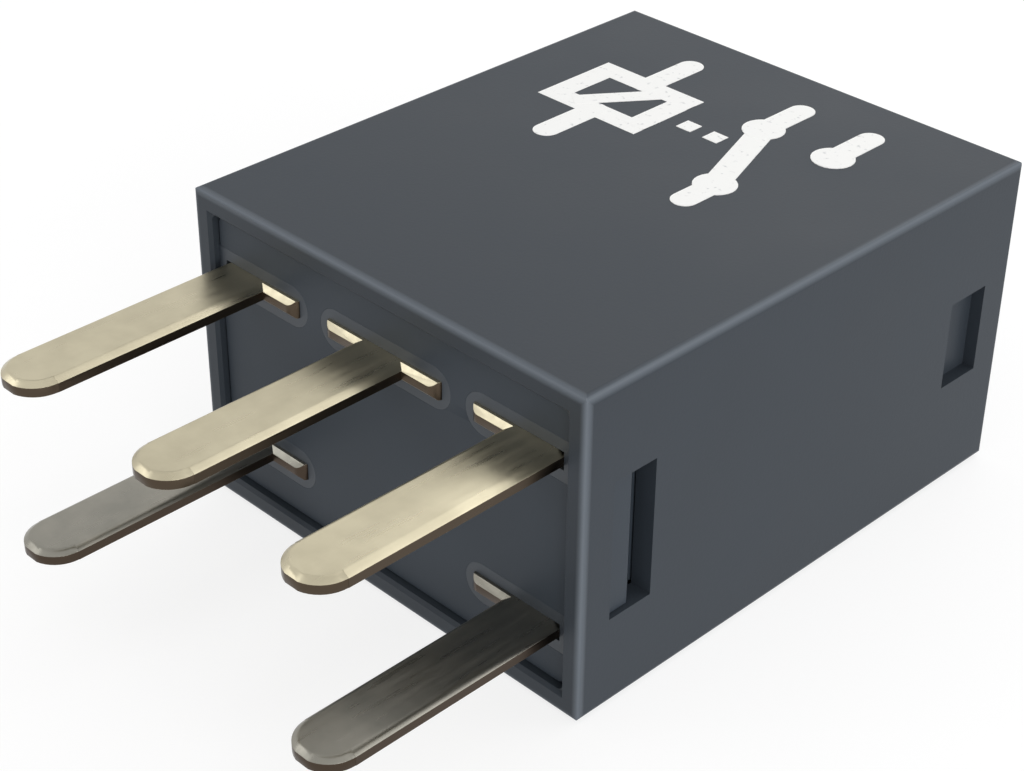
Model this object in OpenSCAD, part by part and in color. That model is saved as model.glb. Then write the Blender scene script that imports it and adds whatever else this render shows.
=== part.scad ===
// Automotive plug-in relay, five 2.8 mm blades, changeover contact.
// It lies on its broad side: +Z up, blades towards -Y, origin under the middle of
// the whole length. Everything is drawn with the terminal rim at y = 0 and the
// finished relay is then shifted by mid_y, so that the origin is the box's centre.

/* [Cover] */
// Outside width of the cover, along the row of blades
cover_w = 22.5; // [22.2:0.1:24]
// Outside thickness of the cover
cover_t = 15; // [14.8:0.1:16.5]
// Outside length of the cover, from terminal rim to closed end
cover_l = 26.8; // [25:0.1:32]
// Wall thickness of the cover
cover_wall = 1; // [0.9:0.05:1.1]
// Radius on the long edges and the closed end of the cover
cover_edge_r = 0.4; // [0.3:0.05:0.9]
// Radius on the outside of the terminal rim
rim_edge_r = 0.3; // [0.2:0.05:0.5]
// Chamfer on the inside of the terminal rim
rim_chamfer = 0.15; // [0.05:0.05:0.3]
// Length of a latch window along the cover
window_l = 2.3; // [2:0.1:2.6]
// Distance from a latch window to the blades beside it
window_margin = 0.4; // [0.3:0.05:0.9]
// Distance from terminal rim to latch window
window_y = 1.6; // [1.4:0.05:1.8]
// Length of a grip pocket along the cover
grip_l = 2.4; // [1.5:0.1:3]
// Height of a grip pocket across the cover
grip_h = 4.2; // [3:0.1:6]
// Depth of a grip pocket
grip_depth = 0.6; // [0.3:0.05:0.7]
// Distance from the closed end to a grip pocket
grip_end = 1.8; // [1.5:0.1:4]

/* [Base] */
// Clearance between base and cover, each side
fit_gap = 0.1; // [0.05:0.01:0.15]
// Depth of the base's outer face behind the terminal rim
rim_recess = 0.4; // [0.4:0.05:0.6]
// Thickness of the base floor
floor_t = 2.6; // [2.4:0.1:3]
// Height of the pedestal under the yoke, above the base floor
pedestal_h = 1.9; // [1.8:0.05:2.4]
// Clearance round a terminal in its slot, each side
slot_gap = 0.05; // [0.02:0.01:0.08]
// How far a latch tab stands inside the face of the cover
tab_inset = 0.2; // [0.1:0.05:0.4]
// Clearance round a latch tab in its window
tab_gap = 0.08; // [0.05:0.01:0.15]

/* [Terminals] */
// Width of a blade
blade_w = 2.8; // [2.4:0.1:2.8]
// Thickness of the terminal sheet
blade_t = 0.8; // [0.6:0.05:0.8]
// Length of a blade outside the terminal rim
blade_l = 11.3; // [8:0.1:14]
// Distance from an outer blade to the inside of the cover
blade_margin = 0.45; // [0.4:0.05:0.6]
// Distance from the middle of a row of blades to the inside of the cover
row_inset = 2.5; // [2.45:0.05:2.7]
// Length of a blade's nose
nose_l = 1.35; // [1.2:0.05:2]
// Width of the blunt tip of a blade
tip_w = 0.7; // [0.6:0.05:1.2]
// Width of the coined chamfer round a blade, seen on its flat
coin_w = 0.3; // [0.1:0.05:0.4]
// Height of the coined chamfer, across the thickness
coin_h = 0.2; // [0.1:0.05:0.3]
// How far the shoulders stand out of the base's outer face
shoulder_out = 0.35; // [0.2:0.05:0.4]
// Corner radius of a shoulder
shoulder_r = 0.5; // [0.2:0.05:0.7]
// Chamfer on the outer edges of a shoulder
shoulder_c = 0.22; // [0.1:0.02:0.3]
// Inside radius of the bends in the terminal sheet
bend_r = 0.3; // [0.2:0.05:0.35]
// Width of the strips that carry the fixed contacts
strip_w = 3.2; // [2.9:0.1:3.4]
// Height of the cross arms that carry a terminal sideways
arm_h = 1.5; // [1.3:0.05:1.7]
// Straight piece between the two bends that set a coil post off from its blade
jog_flat = 0.1; // [0.05:0.05:0.2]
// Width of a coil post
post_w = 0.8; // [0.6:0.05:0.9]
// Height of a coil post above the yoke foot's underside
post_h = 3.7; // [3.4:0.1:6]

/* [Seals] */
// Space between two sealing drops that lie side by side
seal_space = 0.8; // [0.6:0.1:1.2]
// Reach of a sealing drop past the shoulder
seal_margin = 0.5; // [0.4:0.05:0.7]
// Width of the pocket that holds a sealing drop
seal_w = 1.9; // [1.6:0.1:2.4]
// Depth of that pocket in the base
seal_depth = 0.5; // [0.3:0.05:0.8]

/* [Magnet] */
// Thickness of the yoke
yoke_t = 1.4; // [1.2:0.05:1.5]
// Width of the yoke
yoke_w = 9; // [8.4:0.1:9.2]
// Inside radius of the yoke's bend
yoke_bend_r = 0.6; // [0.3:0.1:1]
// Diameter of the core as a share of the winding's
core_share = 0.46; // [0.4:0.01:0.5]
// Shoulder between the core and its tail through the yoke
core_shoulder = 0.5; // [0.3:0.05:0.8]
// Diameter of the pole as a share of the bobbin flange's width
pole_share = 0.7; // [0.6:0.01:0.75]
// Thickness of the pole
pole_t = 1.2; // [0.8:0.1:1.5]
// Thickness of the bobbin tube
tube_t = 0.6; // [0.4:0.05:0.7]
// Thickness of the bobbin flanges
flange_t = 0.8; // [0.6:0.05:1]
// Clearance from the bobbin flange to the contact strips beside it
strip_clear = 1.2; // [1.1:0.05:1.6]
// Depth of the winding's surface below the bobbin flange's flats
winding_inset = 0.3; // [0.2:0.05:1]
// Diameter of the winding wire
wire_d = 0.25; // [0.15:0.01:0.3]
// Thickness of the armature
armature_t = 1.4; // [1.2:0.05:1.6]
// Width of the armature
armature_w = 11; // [9.6:0.1:11.6]
// Distance from the armature's free end to the contacts' axis
spring_reach = 2.6; // [2.5:0.1:3.4]

/* [Contacts] */
// Thickness of the contact spring
spring_t = 0.2; // [0.12:0.01:0.2]
// Width of the contact spring on yoke and armature
spring_w = 6.4; // [5.6:0.1:6.6]
// Width of the contact spring at the moving contact
spring_tip_w = 4; // [3.6:0.1:5]
// Distance from the inside of the cover to the contacts' axis
contact_inset = 4.25; // [4.1:0.05:4.5]
// Gap between the open contacts
contact_gap = 0.7; // [0.4:0.05:0.9]
// Diameter of the moving contact's heads
moving_d = 2.8; // [2.2:0.1:3]
// Diameter of the fixed contacts' heads
fixed_d = 3; // [2.4:0.1:3.2]
// Thickness of each contact head
head_t = 0.5; // [0.4:0.05:0.6]
// Radius of the moving contact's domed faces
dome_r = 6; // [4:0.5:12]
// Diameter of the contact shanks
shank_d = 1.6; // [1.2:0.1:1.8]
// Diameter of the rivets that hold the spring
rivet_d = 1.2; // [0.9:0.1:1.4]
// Thickness of the rivet heads
rivet_head_t = 0.25; // [0.15:0.05:0.3]

/* [Resistor] */
// Diameter of the suppression resistor's body
resistor_d = 1.7; // [1.2:0.1:1.7]
// Length of the suppression resistor's body
resistor_l = 3.6; // [3:0.1:6]
// Diameter of its wires
resistor_wire_d = 0.45; // [0.3:0.05:0.6]

/* [Hidden] */
$fn = 64;

eps = 0.5;              // overshoot of cutting shapes
press_gap = 0.02;       // clearance in riveted and wound fits
side_clear = 0.1;       // from the spring's rivet heads to the cover
coil_gap = 0.1;         // from yoke to bobbin flange
pole_gap = 0.05;        // from closed armature to pole and yoke
touch_gap = 0.01;       // between contacts that meet
end_clear = 0.5;        // from the upper fixed contact's tab to the cover
flange_clear = 0.3;     // from bobbin flange to the cover
rivet_head_grow = 1;    // how much wider a rivet's head is than its shank
tail_t = 0.15;          // thickness of a staked tail
tail_grow = 0.6;        // how much wider a staked tail is than its shank
core_tail_t = 0.35;     // thickness of the core's riveted end
core_tail_grow = 0.8;   // how much wider the core's riveted end is

mid_y = (blade_l - cover_l) / 2;
mid_z = cover_t / 2;
in_x = cover_w / 2 - cover_wall;
in_z = mid_z - cover_wall;
in_y = cover_l - cover_wall;
base_x = in_x - fit_gap;
base_z = in_z - fit_gap;
floor_y = rim_recess + floor_t;
shoulder_y0 = rim_recess - shoulder_out;
shoulder_y1 = floor_y - 0.6;
foot_y = floor_y + pedestal_h;

col_x = in_x - blade_margin - blade_w / 2;
seal_reach = (col_x - seal_space) / 2;
shoulder_w = seal_reach - seal_margin - blade_w / 2;
half_gap = in_z - row_inset;
row_up = mid_z + half_gap;
row_low = mid_z - half_gap;
window_h = 2 * half_gap - blade_t - 2 * window_margin;

// Yoke, coil and hinge lie between the left wall and the contacts on the right
contact_x = in_x - contact_inset;
yoke_x = -in_x + side_clear + rivet_head_t + spring_t;
coil_left = yoke_x + yoke_t + coil_gap;
flange_w = contact_x - strip_w / 2 - strip_clear - coil_left;
flange_r = in_z - flange_clear;
coil_x = coil_left + flange_w / 2;
winding_d = flange_w - 2 * winding_inset;
core_d = core_share * winding_d;
core_tail_d = core_d - 2 * core_shoulder;
pole_d = pole_share * flange_w;
hinge_heel = 0.5;
hinge_x = yoke_x + hinge_heel;
contact_arm = contact_x - hinge_x;
armature_l = contact_arm - spring_reach;
open_angle = asin(contact_gap / contact_arm);

// Heights follow from the cover's closed end
closed_tab_y = in_y - end_clear;
closed_face_y = closed_tab_y - blade_t - head_t;
moving_top = armature_t + spring_t + head_t;
dome_lift = dome_r * (1 - cos(open_angle));
hinge_y = closed_face_y - touch_gap - contact_gap - moving_top * cos(open_angle) - dome_lift;
pole_y = hinge_y - pole_gap;
open_face_y = hinge_y + armature_t - head_t - touch_gap;
open_tab_y = open_face_y - head_t;
coil_y0 = foot_y + yoke_t;
coil_y1 = pole_y - pole_t;

// Centre of the spring's bend, from the hinge line
spring_bend_r = 0.5;
bend_steps = 12;
bend_dx = spring_bend_r - hinge_heel;
bend_dy = (armature_t - spring_bend_r + bend_dx * sin(open_angle)) / cos(open_angle);
leg_l = 8.6;
leg_y0 = hinge_y + bend_dy - leg_l;
rivet_inset = 1.4;      // from the end of the spring's leg to its first rivet
rivet_pitch = 3;        // between the two rivets of the leg
yoke_rivet_y = [leg_y0 + rivet_inset, leg_y0 + rivet_inset + rivet_pitch];
arm_rivet_inset = 2;    // from the armature's free end to its rivets
armature_rivet_u = armature_l - arm_rivet_inset;
armature_rivet_z = spring_w / 2 - 1;

// Foot of the yoke, on its pedestal
foot_reach = pole_d / 2;
pedestal_clear = 0.5;   // from the pedestal to the common terminal
pedestal_x = blade_w / 2 - col_x + pedestal_clear;
pin_x = coil_x + foot_reach - 0.9;
pin_z = 0.3 * yoke_w;
weld_past = 0.2;        // how far the common terminal reaches past the middle
horn_w = 0.9;           // width of the yoke's two horns
horn_h = 1.3;           // height of the horns above the yoke's edge

// Coil posts and their arms
post_shift = blade_t + 2 * bend_r + jog_flat;
post_z = row_up + post_shift;
jog_y = floor_y + 0.2;
post_arm_h = arm_h - 0.2;
post_clear = 0.7;       // from the bobbin flange to the middle of a coil post
post_86_x = -col_x + post_w;
post_85_x = coil_x + flange_w / 2 + post_clear;
post_y1 = foot_y + post_h;
neck_w = blade_w / 2;
lead_y = coil_y0 + flange_t + wire_d;

// ---------------------------------------------------------------- helpers

// Rectangle with round corners, centred
module round_rect(w, h, r) {
    square([w - 2 * r, h], center = true);
    square([w, h - 2 * r], center = true);
    for (x = [-1, 1], y = [-1, 1])
        translate([x * (w / 2 - r), y * (h / 2 - r)]) circle(r);
}

// Rectangle from y = 0 to y = l, with one radius at the start and one at the end
module end_rect(w, l, r_start, r_end) {
    translate([-w / 2, r_start]) square([w, l - r_start - r_end]);
    translate([-w / 2 + r_start, 0]) square([w - 2 * r_start, r_start + r_end]);
    translate([-w / 2 + r_end, l - r_start - r_end]) square([w - 2 * r_end, r_start + r_end]);
    for (x = [-1, 1]) {
        translate([x * (w / 2 - r_start), r_start]) circle(r_start);
        translate([x * (w / 2 - r_end), l - r_end]) circle(r_end);
    }
}

// Section of a sheet bent square: legs a along +x and b along +y, corner at the origin
module angle_profile(a, b, t, r) {
    translate([r + t, 0]) square([a - r - t, t]);
    translate([0, r + t]) square([t, b - r - t]);
    intersection() {
        square(r + t);
        difference() {
            translate([r + t, r + t]) circle(r + t);
            translate([r + t, r + t]) circle(r);
        }
    }
}

module flip_y(on) {
    if (on) mirror([0, 1, 0]) children();
    else children();
}

module flip_z(on) {
    if (on) mirror([0, 0, 1]) children();
    else children();
}

// Bent terminal sheet of width w from x0; signed legs along y and z from the corner
module sheet_angle(x0, w, y, z, leg_y, leg_z) {
    translate([x0, y, z]) flip_y(leg_y < 0) flip_z(leg_z < 0)
        rotate([90, 0, 90]) linear_extrude(w)
            angle_profile(abs(leg_y), abs(leg_z), blade_t, bend_r);
}

// Extrudes an x-z outline along y, from y0 to y1
module along_y(y0, y1) {
    translate([0, y1, 0]) rotate([90, 0, 0]) linear_extrude(y1 - y0) children();
}

// Extrudes a y-z outline along x, from x0 to x1
module along_x(x0, x1) {
    translate([x0, 0, 0]) rotate([90, 0, 90]) linear_extrude(x1 - x0) children();
}

module block(x0, x1, y0, y1, z0, z1) {
    translate([x0, y0, z0]) cube([x1 - x0, y1 - y0, z1 - z0]);
}

module rod_y(x, z, y0, y1, d) {
    translate([x, y0, z]) rotate([-90, 0, 0]) cylinder(d = d, h = y1 - y0);
}

module rod_x(y, z, x0, x1, d) {
    translate([x0, y, z]) rotate([0, 90, 0]) cylinder(d = d, h = x1 - x0);
}

// Places children, drawn with the hinge line at the origin, at the open armature
module on_armature() {
    translate([hinge_x, hinge_y, mid_z]) rotate([0, 0, open_angle]) children();
}

// ------------------------------------------------------------------ cover

module cover_solid() {
    intersection() {
        along_y(0, cover_l) translate([0, mid_z]) round_rect(cover_w, cover_t, cover_edge_r);
        linear_extrude(cover_t) end_rect(cover_w, cover_l, rim_edge_r, cover_edge_r);
        along_x(-cover_w / 2, cover_w / 2) translate([0, mid_z]) rotate(-90)
            end_rect(cover_t, cover_l, rim_edge_r, cover_edge_r);
    }
}

// Lead-in round the inside of the rim
module rim_lead_in() {
    x = in_x + rim_chamfer + eps;
    z = in_z + rim_chamfer + eps;
    intersection() {
        linear_extrude(cover_t)
            polygon([[-x, -eps], [x, -eps], [in_x, rim_chamfer], [-in_x, rim_chamfer]]);
        along_x(-cover_w, cover_w) translate([0, mid_z])
            polygon([[-eps, -z], [rim_chamfer, -in_z], [rim_chamfer, in_z], [-eps, z]]);
    }
}

module cover_can() {
    color([0.16, 0.17, 0.2]) difference() {
        cover_solid();
        along_y(-eps, in_y) translate([0, mid_z]) round_rect(2 * in_x, 2 * in_z, 0.3);
        rim_lead_in();
        block(-cover_w, cover_w, window_y, window_y + window_l,
              mid_z - window_h / 2, mid_z + window_h / 2);
        for (side = [0, 1]) mirror([side, 0, 0])
            block(cover_w / 2 - grip_depth, cover_w, cover_l - grip_end - grip_l,
                  cover_l - grip_end, mid_z - grip_h / 2, mid_z + grip_h / 2);
    }
}

// ------------------------------------------------------------------- base

// Wedge that snaps into a latch window: catch face towards the rim, ramp inwards
module latch_tab() {
    y0 = window_y + tab_gap;
    y1 = window_y + window_l - tab_gap;
    x1 = cover_w / 2 - tab_inset;
    half = window_h / 2 - tab_gap;
    translate([0, 0, mid_z - half]) linear_extrude(2 * half)
        polygon([[base_x - eps, y0], [x1, y0], [x1, y0 + (y1 - y0) / 2],
                 [base_x, y1], [base_x - eps, y1]]);
}

// Stepped slot for a terminal: wide for its shoulders, then as wide as its blade;
// an outer one is open to the side of the base
module terminal_slot(x, z, open_side) {
    half_t = blade_t / 2 + slot_gap;
    for (wide = [true, false]) {
        w = blade_w / 2 + (wide ? shoulder_w : 0) + slot_gap;
        x0 = open_side < 0 ? -base_x - eps : x - w;
        x1 = open_side > 0 ? base_x + eps : x + w;
        block(x0, x1, rim_recess - eps, (wide ? shoulder_y1 : floor_y + eps),
              z - half_t, z + half_t);
    }
}

// Outline of a sealing drop: round inner end, outer end cut square at x_end
module seal_outline(x, open_side, x_end) {
    r = seal_w / 2;
    run = seal_reach - r;
    x0 = open_side < 0 ? -x_end : x - run;
    x1 = open_side > 0 ? x_end : x + run;
    translate([x0, -r]) square([x1 - x0, seal_w]);
    if (open_side >= 0) translate([x - run, 0]) circle(r);
    if (open_side <= 0) translate([x + run, 0]) circle(r);
}

module base_plug() {
    color([0.13, 0.14, 0.16]) difference() {
        union() {
            along_y(rim_recess, floor_y) translate([0, mid_z])
                round_rect(2 * base_x, 2 * base_z, 0.4);
            for (side = [0, 1]) mirror([side, 0, 0]) {
                latch_tab();
                block(base_x - 0.8, base_x, floor_y - eps, window_y + window_l + 0.15,
                      mid_z - window_h / 2 + tab_gap, mid_z + window_h / 2 - tab_gap);
            }
            block(pedestal_x, coil_x + foot_reach, floor_y - eps, foot_y,
                  mid_z - pin_z - rivet_d / 2, mid_z + pin_z + rivet_d / 2);
            for (z = [-pin_z, pin_z])
                rod_y(pin_x, mid_z + z, foot_y - eps,
                      foot_y + yoke_t - press_gap, rivet_d - 2 * press_gap);
        }
        for (x = [-col_x, col_x], z = [row_low, row_up])
            terminal_slot(x, z, sign(x));
        terminal_slot(0, row_up, 0);
        for (x = [-col_x, col_x], z = [row_low, row_up])
            along_y(rim_recess - eps, rim_recess + seal_depth) translate([0, z])
                seal_outline(x, sign(x), base_x + eps);
        along_y(rim_recess - eps, rim_recess + seal_depth) translate([0, row_up])
            seal_outline(0, 0, 0);
        rod_y(coil_x, mid_z, foot_y - core_tail_t - 0.2, foot_y + eps,
              core_tail_d + core_tail_grow + 0.6);
    }
}

// Cured drop of sealing resin round the root and shoulders of a blade
module seal(x, z, open_side) {
    half_t = blade_t / 2;
    x0 = x - blade_w / 2 - (open_side >= 0 ? shoulder_w : 0);
    x1 = x + blade_w / 2 + (open_side <= 0 ? shoulder_w : 0);
    color([0.07, 0.07, 0.08]) difference() {
        along_y(rim_recess, rim_recess + seal_depth) translate([0, z])
            seal_outline(x, open_side, in_x);
        block(x0, x1, -eps, floor_y, z - half_t, z + half_t);
    }
}

// -------------------------------------------------------------- terminals

// Shoulder on the right of a blade at the origin
module shoulder() {
    x0 = blade_w / 2 - 2 * coin_w;
    x1 = blade_w / 2 + shoulder_w;
    r = shoulder_r;
    c = shoulder_c;
    t = blade_t / 2;
    intersection() {
        translate([0, 0, -t]) linear_extrude(blade_t) {
            translate([x0, shoulder_y0]) square([x1 - r - x0, shoulder_y1 - shoulder_y0]);
            translate([x0, shoulder_y0 + r])
                square([x1 - x0, shoulder_y1 - shoulder_y0 - r]);
            translate([x1 - r, shoulder_y0 + r]) circle(r);
        }
        along_x(x0, x1)
            polygon([[shoulder_y0, c - t], [shoulder_y0 + c, -t], [shoulder_y1, -t],
                     [shoulder_y1, t], [shoulder_y0 + c, t], [shoulder_y0, t - c]]);
    }
}

// Disc of the blade's thickness with coined rims
module coined_disc(r) {
    t = blade_t / 2;
    rotate_extrude()
        polygon([[0, -t], [r - coin_w, -t], [r, coin_h - t],
                 [r, t - coin_h], [r - coin_w, t], [0, t]]);
}

// Round nose of a blade: two coined discs bound its sides, a coined profile its tip
module nose() {
    side_in = (blade_w - tip_w) / 2;
    nose_r = (nose_l * nose_l + side_in * side_in) / (2 * side_in);
    nose_y = nose_l - blade_l;
    t = blade_t / 2;
    intersection() {
        along_x(-blade_w / 2, blade_w / 2)
            polygon([[-blade_l, coin_h - t], [coin_w - blade_l, -t], [nose_y, -t],
                     [nose_y, t], [coin_w - blade_l, t], [-blade_l, t - coin_h]]);
        translate([blade_w / 2 - nose_r, nose_y, 0]) coined_disc(nose_r);
        translate([nose_r - blade_w / 2, nose_y, 0]) coined_disc(nose_r);
    }
}

// Male blade with coined edges and shoulders, up to y_end
module blade(x, z, y_end) {
    w = blade_w / 2;
    t = blade_t / 2;
    translate([x, 0, z]) {
        nose();
        along_y(nose_l - blade_l, y_end)
            polygon([[coin_w - w, -t], [w - coin_w, -t], [w, coin_h - t], [w, t - coin_h],
                     [w - coin_w, t], [coin_w - w, t], [-w, t - coin_h], [-w, coin_h - t]]);
        // an outer blade has only the shoulder on its inner side
        if (x <= 0) shoulder();
        if (x >= 0) mirror([1, 0, 0]) shoulder();
    }
}

// Flat piece of terminal sheet in the plane z
module sheet_flat(x0, x1, y0, y1, z) {
    block(x0, x1, y0, y1, z - blade_t / 2, z + blade_t / 2);
}

// Common terminal: its inner end is bent under the yoke foot and welded to it
module terminal_30() {
    color([0.8, 0.77, 0.66]) {
        blade(-col_x, row_low, floor_y);
        sheet_angle(-col_x - blade_w / 2, blade_w, foot_y, row_low - blade_t / 2,
                    -(foot_y - floor_y + eps), half_gap + blade_t / 2 + weld_past);
    }
}

// S-bend that carries a coil terminal out to the plane of its post
module post_jog(x0, w) {
    half_rise = (post_shift + blade_t) / 2;
    sheet_angle(x0, w, jog_y + blade_t, row_up - blade_t / 2,
                -(blade_t + jog_y - floor_y + eps), half_rise);
    sheet_angle(x0, w, jog_y, post_z + blade_t / 2, post_arm_h, -half_rise);
}

module terminal_86() {
    color([0.8, 0.77, 0.66]) {
        blade(-col_x, row_up, floor_y);
        post_jog(-col_x - blade_w / 2, blade_w);
        sheet_flat(post_86_x - post_w / 2, post_86_x + post_w / 2,
                   jog_y + blade_t + bend_r, post_y1, post_z);
    }
}

module terminal_85() {
    x1 = col_x + blade_w / 2;
    color([0.8, 0.77, 0.66]) {
        blade(col_x, row_up, floor_y);
        post_jog(x1 - neck_w, neck_w);
        sheet_flat(post_85_x - post_w / 2, x1 - neck_w + eps, jog_y, jog_y + post_arm_h, post_z);
        sheet_flat(post_85_x - post_w / 2, post_85_x + post_w / 2, jog_y, post_y1, post_z);
    }
}

// Terminal that carries a fixed contact: cross arm, riser strip, and a tab bent
// inwards at the top; side is +1 when the tab points towards +Z
module contact_terminal(x, z, side, tab_y) {
    x0 = min(x - blade_w / 2, contact_x - strip_w / 2);
    x1 = max(x + blade_w / 2, contact_x + strip_w / 2);
    bend_y = tab_y - blade_t - bend_r;
    color([0.8, 0.77, 0.66]) difference() {
        union() {
            blade(x, z, floor_y + eps);
            sheet_flat(min(x0, x), x > 0 ? x1 : contact_x + strip_w / 2,
                       floor_y, floor_y + arm_h, z);
            sheet_flat(contact_x - strip_w / 2, contact_x + strip_w / 2,
                       floor_y, bend_y, z);
            sheet_angle(contact_x - strip_w / 2, strip_w, tab_y, z - side * blade_t / 2,
                        -(blade_t + bend_r + eps),
                        side * (half_gap + blade_t / 2 + fixed_d / 2 + 0.2));
        }
        rod_y(contact_x, mid_z, tab_y - blade_t - eps, tab_y + eps, shank_d);
    }
}

// ----------------------------------------------------------------- magnet

module yoke() {
    foot_l = coil_x + foot_reach - yoke_x;
    color([0.62, 0.63, 0.65]) difference() {
        union() {
            translate([yoke_x, foot_y, mid_z - yoke_w / 2]) linear_extrude(yoke_w)
                angle_profile(foot_l, pole_y - foot_y, yoke_t, yoke_bend_r);
            // horns that keep the armature from sliding sideways
            for (z = [-yoke_w / 2, yoke_w / 2 - horn_w])
                block(yoke_x, yoke_x + yoke_t, pole_y - eps, pole_y + horn_h,
                      mid_z + z, mid_z + z + horn_w);
        }
        rod_y(coil_x, mid_z, foot_y - eps, coil_y0 + eps, core_tail_d);
        for (z = [-pin_z, pin_z])
            rod_y(pin_x, mid_z + z, foot_y - eps, coil_y0 + eps, rivet_d);
        for (y = yoke_rivet_y)
            rod_x(y, mid_z, yoke_x - eps, yoke_x + yoke_t + eps, rivet_d);
    }
}

module core() {
    color([0.66, 0.67, 0.69]) {
        rod_y(coil_x, mid_z, foot_y - core_tail_t, foot_y, core_tail_d + core_tail_grow);
        rod_y(coil_x, mid_z, foot_y - core_tail_t / 2, coil_y0 + eps,
              core_tail_d - 2 * press_gap);
        rod_y(coil_x, mid_z, coil_y0, coil_y1 + eps, core_d);
        rod_y(coil_x, mid_z, coil_y1, pole_y, pole_d);
    }
}

// Double-D flange
module flange(y0, y1) {
    intersection() {
        rod_y(coil_x, mid_z, y0, y1, 2 * flange_r);
        block(coil_x - flange_w / 2, coil_x + flange_w / 2, y0 - eps, y1 + eps, 0, cover_t);
    }
}

module bobbin() {
    relief = 0.75 * yoke_bend_r;
    y0 = coil_y0 + press_gap;
    y1 = coil_y1 - press_gap;
    color([0.78, 0.74, 0.62]) difference() {
        union() {
            flange(y0, y0 + flange_t);
            flange(y1 - flange_t, y1);
            rod_y(coil_x, mid_z, y0, y1, core_d + 2 * tube_t + 0.1);
        }
        rod_y(coil_x, mid_z, y0 - eps, y1 + eps, core_d + 0.1);
        // relief for the inside of the yoke's bend
        linear_extrude(cover_t) polygon([[coil_left - eps, y0 - eps],
            [coil_left + relief + eps, y0 - eps], [coil_left - eps, y0 + relief + eps]]);
    }
}

module winding() {
    y0 = coil_y0 + 2 * press_gap + flange_t;
    y1 = coil_y1 - 2 * press_gap - flange_t;
    color([0.72, 0.36, 0.16]) difference() {
        rod_y(coil_x, mid_z, y0, y1, winding_d);
        rod_y(coil_x, mid_z, y0 - eps, y1 + eps, core_d + 2 * tube_t + 0.1 + 2 * press_gap);
    }
}

// End of the winding: three turns round a coil post and the run from the coil
module lead(x) {
    turns = 3;
    ring_r = post_w * 0.72 + wire_d / 2;
    dx = x - coil_x;
    dz = post_z - mid_z;
    reach = sqrt(dx * dx + dz * dz);
    color([0.76, 0.4, 0.2]) {
        for (i = [0 : turns - 1])
            translate([x, lead_y + i * wire_d * 0.9, post_z]) rotate([-90, 0, 0])
                rotate_extrude() translate([ring_r, 0]) circle(d = wire_d, $fn = 24);
        translate([coil_x, lead_y, mid_z]) rotate([0, -atan2(dz, dx), 0])
            rotate([0, 90, 0]) translate([0, 0, winding_d / 2 + press_gap])
                cylinder(d = wire_d, h = reach - winding_d / 2 - press_gap - ring_r, $fn = 24);
    }
}

// --------------------------------------------------------------- resistor

resistor_y = jog_y + post_arm_h / 2 + 0.3;
resistor_x0 = -col_x + blade_w / 2;
resistor_x1 = post_85_x - post_w / 2;
resistor_mid = (resistor_x0 + resistor_x1) / 2;

module resistor() {
    cap_l = resistor_l / 5;
    color([0.45, 0.6, 0.66]) {
        rod_x(resistor_y, post_z, resistor_mid - resistor_l / 2,
              resistor_mid + resistor_l / 2, resistor_d * 0.88);
        for (x = [resistor_mid - resistor_l / 2, resistor_mid + resistor_l / 2 - cap_l])
            rod_x(resistor_y, post_z, x, x + cap_l, resistor_d);
    }
}

module resistor_wires() {
    color([0.75, 0.75, 0.76]) {
        rod_x(resistor_y, post_z, resistor_x0, resistor_mid - resistor_l / 2, resistor_wire_d);
        rod_x(resistor_y, post_z, resistor_mid + resistor_l / 2, resistor_x1, resistor_wire_d);
    }
}

// --------------------------------------------------- armature and contacts

module armature() {
    heel_l = yoke_t - hinge_heel + 0.3;
    heel_w = yoke_w - 2 * horn_w - 0.4;
    corner = 1.2;
    back = 0.3;
    color([0.6, 0.61, 0.63]) on_armature() difference() {
        intersection() {
            along_y(0, armature_t)
                polygon([[0, -heel_w / 2], [heel_l, -heel_w / 2], [heel_l, -armature_w / 2],
                         [armature_l - corner, -armature_w / 2],
                         [armature_l, -armature_w / 2 + corner],
                         [armature_l, armature_w / 2 - corner],
                         [armature_l - corner, armature_w / 2], [heel_l, armature_w / 2],
                         [heel_l, heel_w / 2], [0, heel_w / 2]]);
            translate([0, 0, -armature_w]) linear_extrude(2 * armature_w)
                polygon([[0, 0], [armature_l, 0], [armature_l, armature_t],
                         [back, armature_t], [0, armature_t - back]]);
        }
        for (z = [-1, 1])
            rod_y(armature_rivet_u, z * armature_rivet_z, -eps, armature_t + eps, rivet_d);
    }
}

// Point on the spring's bend, at radius r, i steps after the leg
function bend_point(i, r) =
    let (a = 180 - i * (90 - open_angle) / bend_steps)
    [hinge_x + bend_dx + r * cos(a), hinge_y + bend_dy + r * sin(a)];

// Point of the open armature, u along it from the hinge line and v above it
function arm_point(u, v) =
    [hinge_x + u * cos(open_angle) - v * sin(open_angle),
     hinge_y + u * sin(open_angle) + v * cos(open_angle)];

// Side view of the spring: leg on the yoke, bend, and arm along the armature
module spring_profile() {
    far = contact_arm + spring_tip_w;
    polygon(concat(
        [[yoke_x - spring_t, leg_y0]],
        [for (i = [0 : bend_steps]) bend_point(i, spring_bend_r + spring_t)],
        [arm_point(far, armature_t + spring_t)],
        [arm_point(far, armature_t)],
        [for (i = [bend_steps : -1 : 0]) bend_point(i, spring_bend_r)],
        [[yoke_x, leg_y0]]));
}

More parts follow.
